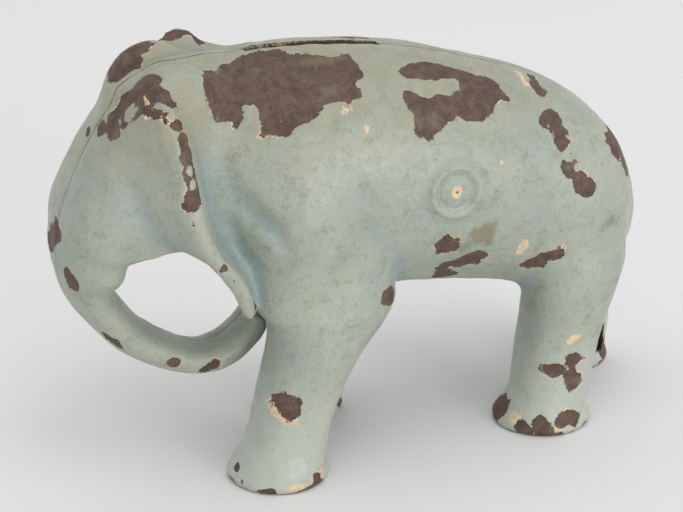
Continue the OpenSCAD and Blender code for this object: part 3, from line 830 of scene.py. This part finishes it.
# ---------------------------------------------------------------- materials
class Shader:
    """Node tree of one material, built by short calls; sizes are in mm."""

    def __init__(self, name):
        self.material = bpy.data.materials.new(name)
        self.material.use_nodes = True
        self.tree = self.material.node_tree
        self.surface = self.tree.nodes["Principled BSDF"]
        self.place = self.node("ShaderNodeTexCoord").outputs["Object"]

    def put(self, socket, value):
        if isinstance(value, bpy.types.NodeSocket):
            self.tree.links.new(value, socket)
        else:
            socket.default_value = value

    def node(self, kind, inputs=(), **settings):
        made = self.tree.nodes.new(kind)
        for key, value in settings.items():
            setattr(made, key, value)
        for key, value in inputs:
            self.put(made.inputs[key], value)
        return made

    def attribute(self, name):
        return self.node("ShaderNodeAttribute", attribute_name=name).outputs["Fac"]

    def noise(self, size, detail, rough):
        inputs = (("Vector", self.place), ("Scale", 1 / (size * MM)), ("Detail", detail),
                  ("Roughness", rough))
        return self.node("ShaderNodeTexNoise", inputs).outputs["Fac"]

    def cells(self, size, place):
        inputs = (("Vector", place), ("Scale", 1 / (size * MM)))
        return self.node("ShaderNodeTexVoronoi", inputs, feature="DISTANCE_TO_EDGE").outputs["Distance"]

    def math(self, operation, a, b=0.0):
        return self.node("ShaderNodeMath", ((0, a), (1, b)), operation=operation).outputs[0]

    def ramp(self, value, low, high, out_low=0.0, out_high=1.0):
        """Smooth step from low to high; low may be the larger of the two."""
        inputs = (("Value", value), ("From Min", low), ("From Max", high), ("To Min", out_low),
                  ("To Max", out_high))
        return self.node("ShaderNodeMapRange", inputs, interpolation_type="SMOOTHSTEP").outputs["Result"]

    def patches(self, size, detail, rough, low, high, out_low=0.0, out_high=1.0):
        """Noise cut softly between two levels, as a share between two others."""
        return self.ramp(self.noise(size, detail, rough), low, high, out_low, out_high)

    def frayed(self, distance, size, detail, rough, width):
        """A distance in mm shifted by noise, up to half the width either way."""
        shift = self.math("SUBTRACT", self.noise(size, detail, rough), 0.5)
        return self.math("ADD", distance, self.math("MULTIPLY", shift, width))

    def axis(self, name):
        """One object coordinate, in metres."""
        return self.node("ShaderNodeSeparateXYZ", ((0, self.place),)).outputs[name]

    def mix(self, factor, a, b):
        return self.node("ShaderNodeMix", ((0, factor), (6, a), (7, b)), data_type="RGBA").outputs[2]

    def warped(self, size, strength):
        """Object coordinates pushed about by noise, for lines that wander."""
        inputs = (("Vector", self.place), ("Scale", 1 / (size * MM)), ("Detail", 2.0))
        shift = self.node("ShaderNodeTexNoise", inputs)
        inputs = ((0, shift.outputs["Color"]), (1, (strength * MM,) * 3))
        moved = self.node("ShaderNodeVectorMath", inputs, operation="MULTIPLY")
        inputs = ((0, self.place), (1, moved.outputs[0]))
        return self.node("ShaderNodeVectorMath", inputs, operation="ADD").outputs[0]


def srgb(r, g, b):
    """Linear colour of an 8-bit sRGB tone."""
    def linear(c):
        c /= 255
        return c / 12.92 if c <= 0.04045 else ((c + 0.055) / 1.055) ** 2.4
    return (linear(r), linear(g), linear(b), 1.0)


IRON_DARK, IRON_BROWN = srgb(80, 62, 53), srgb(101, 82, 71)
IRON_RED, IRON_BLACK, IRON_GREY = srgb(108, 68, 52), srgb(57, 46, 40), srgb(112, 106, 88)
IRON_SPECK = srgb(186, 180, 162)
PAINT_COOL, PAINT_WARM, PAINT_BLUE = srgb(152, 161, 150), srgb(162, 167, 152), srgb(150, 166, 162)
# Paint tones for painted shade in the hollows and painted light on the swells
PAINT_SHADED_IN_HOLLOWS, PAINT_LIT_ON_SWELLS = srgb(134, 153, 154), srgb(172, 175, 158)
# Paler paint low on the legs: partly the paint's own tone, partly painted light from the floor and front
PAINT_PALER_AND_LIT_LOW = srgb(186, 190, 180)
GRIME_CLOUD, GRIME_FLECK, GRIME_ON_BACK = srgb(138, 139, 120), srgb(122, 125, 111), srgb(148, 145, 121)
STAIN_BROWN, CRACK_DIRT, SEAM_DIRT = srgb(124, 118, 86), srgb(96, 96, 82), srgb(104, 90, 66)
PAINT_PIT = srgb(84, 77, 64)
PRIMER_CREAM, PRIMER_TAN = srgb(214, 196, 160), srgb(200, 168, 134)
PAINT_ROUGHNESS, IRON_ROUGHNESS, PRIMER_ROUGHNESS = (0.3, 0.5), 0.74, 0.7
# Ragged edges of chips and stains: noise size, detail, roughness, width
EDGE_FRAY, STAIN_FRAY = (0.7, 5, 0.62, 1.5), (1.6, 5, 0.7, 5.0)
# Bump heights, mm
BRUSH_HEIGHT, GRIT_HEIGHT, PIT_HEIGHT = 0.10, 0.035, 0.12
CRACK_DEPTH, CHIP_DEPTH = 0.035, 0.13


def iron_color(s):
    """Old brown oxide with reddish, dark and grey patches and pale specks."""
    tone = s.mix(s.patches(2.4, 4, 0.65, 0.35, 0.65), IRON_DARK, IRON_BROWN)
    tone = s.mix(s.patches(0.9, 3, 0.6, 0.52, 0.74, 0.0, 0.6), tone, IRON_RED)
    tone = s.mix(s.patches(0.5, 4, 0.7, 0.52, 0.7), tone, IRON_BLACK)
    tone = s.mix(s.patches(6.0, 3, 0.6, 0.56, 0.7, 0.0, 0.6), tone, IRON_GREY)
    return s.mix(s.patches(0.55, 2, 0.5, 0.73, 0.77, 0.0, 0.8), tone, IRON_SPECK)


def paint_color(s, curve, stain, cracks):
    """Worn aqua paint, dirtier toward the back; painted shade makes it darker and bluer in hollows,
    painted light makes it paler on swells, and toward the floor it is paler, partly its own tone and
    partly painted light.
    """
    height = s.axis("Z")
    tone = s.mix(s.patches(11, 4, 0.6, 0.35, 0.65), PAINT_COOL, PAINT_WARM)
    tone = s.mix(s.patches(4.2, 4, 0.65, 0.5, 0.75, 0.0, 0.6), tone, PAINT_BLUE)
    # Painted shade: darker, bluer paint in the hollows
    tone = s.mix(s.ramp(curve, -0.02, -0.22, 0.0, 0.75), tone, PAINT_SHADED_IN_HOLLOWS)
    # Painted light: paler paint on the swells
    tone = s.mix(s.ramp(curve, 0.12, 0.4, 0.0, 0.35), tone, PAINT_LIT_ON_SWELLS)
    tone = s.mix(s.patches(3.0, 5, 0.7, 0.5, 0.72, 0.0, 0.55), tone, GRIME_CLOUD)
    tone = s.mix(s.patches(0.8, 3, 0.6, 0.5, 0.72, 0.0, 0.36), tone, GRIME_FLECK)
    tone = s.mix(s.ramp(s.frayed(stain, *STAIN_FRAY), 0.9, -1.1, 0.0, 0.75), tone, STAIN_BROWN)
    on_back = s.ramp(height, 60 * MM, 77 * MM)
    grime = s.math("MULTIPLY", on_back, s.patches(7, 5, 0.7, 0.3, 0.6, 0.25, 0.8))
    tone = s.mix(grime, tone, GRIME_ON_BACK)
    # Paler toward the floor: partly the paint's own tone, partly painted light from the floor and front
    tone = s.mix(s.ramp(height, 26 * MM, 8 * MM, 0.0, 0.6), tone, PAINT_PALER_AND_LIT_LOW)
    tone = s.mix(cracks, tone, CRACK_DIRT)
    return s.mix(s.patches(0.42, 2, 0.5, 0.735, 0.77, 0.0, 0.7), tone, PAINT_PIT)


def seam_dirt(s):
    """How dirty the joint is: a thin line at Y = 0, broken, and fainter low down."""
    line = s.ramp(s.math("ABSOLUTE", s.axis("Y")), 0.55 * MM, 0.1 * MM)
    line = s.math("MULTIPLY", line, s.patches(2.6, 4, 0.65, 0.38, 0.6, 0.25, 0.95))
    return s.math("MULTIPLY", line, s.ramp(s.axis("Z"), 62 * MM, 74 * MM, 0.3, 1.0))


def bumps(s, cracks, bare):
    """Height in mm of brush marks, grit, cracks and chipped paint."""
    height = s.math("MULTIPLY", s.noise(0.9, 4, 0.6), BRUSH_HEIGHT)
    height = s.math("ADD", height, s.math("MULTIPLY", s.noise(0.28, 3, 0.6), GRIT_HEIGHT))
    height = s.math("SUBTRACT", height, s.math("MULTIPLY", cracks, CRACK_DEPTH))
    height = s.math("SUBTRACT", height, s.math("MULTIPLY", bare, CHIP_DEPTH))
    pits = s.math("MULTIPLY", s.math("MULTIPLY", s.noise(0.45, 3, 0.7), bare), PIT_HEIGHT)
    return s.math("ADD", height, pits)


def painted_iron(name):
    """Paint over primer over iron, worn through where the mesh attributes say."""
    s = Shader(name)
    edge = s.frayed(s.attribute("chip"), *EDGE_FRAY)
    bare = s.ramp(edge, 0.04, -0.04)
    rim = s.patches(3.4, 3, 0.6, 0.5, 0.74, 0.02, 0.45)
    near_edge = s.ramp(s.math("SUBTRACT", edge, rim), 0.05, -0.05)
    patch = s.ramp(s.frayed(s.attribute("cream"), *EDGE_FRAY), 0.04, -0.04)
    primer = s.math("MAXIMUM", near_edge, patch)
    lines = s.ramp(s.cells(1.1, s.warped(1.5, 1.6)), 0.08, 0.0)
    cracks = s.math("MULTIPLY", lines, s.patches(6.0, 4, 0.65, 0.46, 0.68, 0.0, 0.34))

    color = paint_color(s, s.attribute("curve"), s.attribute("stain"), cracks)
    primer_color = s.mix(s.patches(0.9, 3, 0.6, 0.35, 0.7), PRIMER_CREAM, PRIMER_TAN)
    color = s.mix(primer, color, primer_color)
    color = s.mix(bare, color, iron_color(s))
    s.put(s.surface.inputs["Base Color"], s.mix(seam_dirt(s), color, SEAM_DIRT))

    rough = s.patches(2.2, 4, 0.6, 0.3, 0.7, *PAINT_ROUGHNESS)
    rough = s.math("MAXIMUM", rough, s.math("MULTIPLY", bare, IRON_ROUGHNESS))
    rough = s.math("MAXIMUM", rough, s.math("MULTIPLY", primer, PRIMER_ROUGHNESS))
    s.put(s.surface.inputs["Roughness"], rough)

    bump = s.node("ShaderNodeBump", (("Height", bumps(s, cracks, bare)), ("Distance", MM)))
    s.put(s.surface.inputs["Normal"], bump.outputs["Normal"])
    return s.material


def finish(piece, body, node, material):
    """Gives a piece its material and ties it to the frame."""
    piece.data.materials.clear()
    piece.data.materials.append(material)
    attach(piece, body)
    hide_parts(node)


finish(build_half(LEFT), "left_casting", "left_casting",
       painted_iron("paint_left"))
finish(build_half(RIGHT), "right_casting", "right_casting",
       painted_iron("paint_right"))
finish(build_screw(), "screw", "screw", painted_iron("paint_screw"))

# ---------------------------------------------------------------- stage, light, camera
AIM = Vector((-3.5, 0.0, 36.6)) * MM
YAW, PITCH, DISTANCE = math.radians(22.7), math.radians(23.0), 0.5
SENSOR_WIDTH, LENS = 36, 133.353
FLOOR_HALF, FLOOR_THICK, FLOOR_GAP = 4000, 20, 0.01
FLOOR_GREY = (0.79, 0.79, 0.79, 1)
WHITE = (1, 1, 1, 1)

floor_mesh = block((-FLOOR_HALF, -FLOOR_HALF, -FLOOR_THICK), (FLOOR_HALF, FLOOR_HALF, -FLOOR_GAP))
floor_mesh.name = "floor"
floor_paint = bpy.data.materials.new("floor_paper")
floor_paint.use_nodes = True
floor_surface = floor_paint.node_tree.nodes["Principled BSDF"]
floor_surface.inputs["Base Color"].default_value = FLOOR_GREY
floor_surface.inputs["Roughness"].default_value = 0.8
floor_mesh.data.materials.append(floor_paint)

camera_data = bpy.data.cameras.new("camera")
camera = bpy.data.objects.new("camera", camera_data)
bpy.context.scene.collection.objects.link(camera)
toward = Vector((-math.sin(YAW) * math.cos(PITCH), -math.cos(YAW) * math.cos(PITCH), math.sin(PITCH)))
camera.location = AIM + toward * DISTANCE
camera.rotation_euler = toward.to_track_quat("Z", "Y").to_euler()
camera_data.sensor_width = SENSOR_WIDTH
camera_data.lens = LENS
camera_data.clip_end = 50
bpy.context.scene.camera = camera


def area_light(name, at, size, power):
    """A soft round lamp aimed at the bank; metres and watts."""
    data = bpy.data.lights.new(name, "AREA")
    data.shape = "DISK"
    data.size = size
    data.energy = power
    light = bpy.data.objects.new(name, data)
    light.location = Vector(at)
    light.rotation_euler = (Vector(at) - AIM).to_track_quat("Z", "Y").to_euler()
    bpy.context.scene.collection.objects.link(light)


area_light("key", (0.15, -0.6, 1.55), 0.8, 3.5)
area_light("fill", (0.5, -1.6, 0.25), 0.8, 10.0)
world = bpy.data.worlds.new("studio")
world.use_nodes = True
backdrop = world.node_tree.nodes["Background"]
backdrop.inputs["Color"].default_value = WHITE
backdrop.inputs["Strength"].default_value = 0.86
bpy.context.scene.world = world
bpy.context.scene.view_settings.view_transform = "Standard"
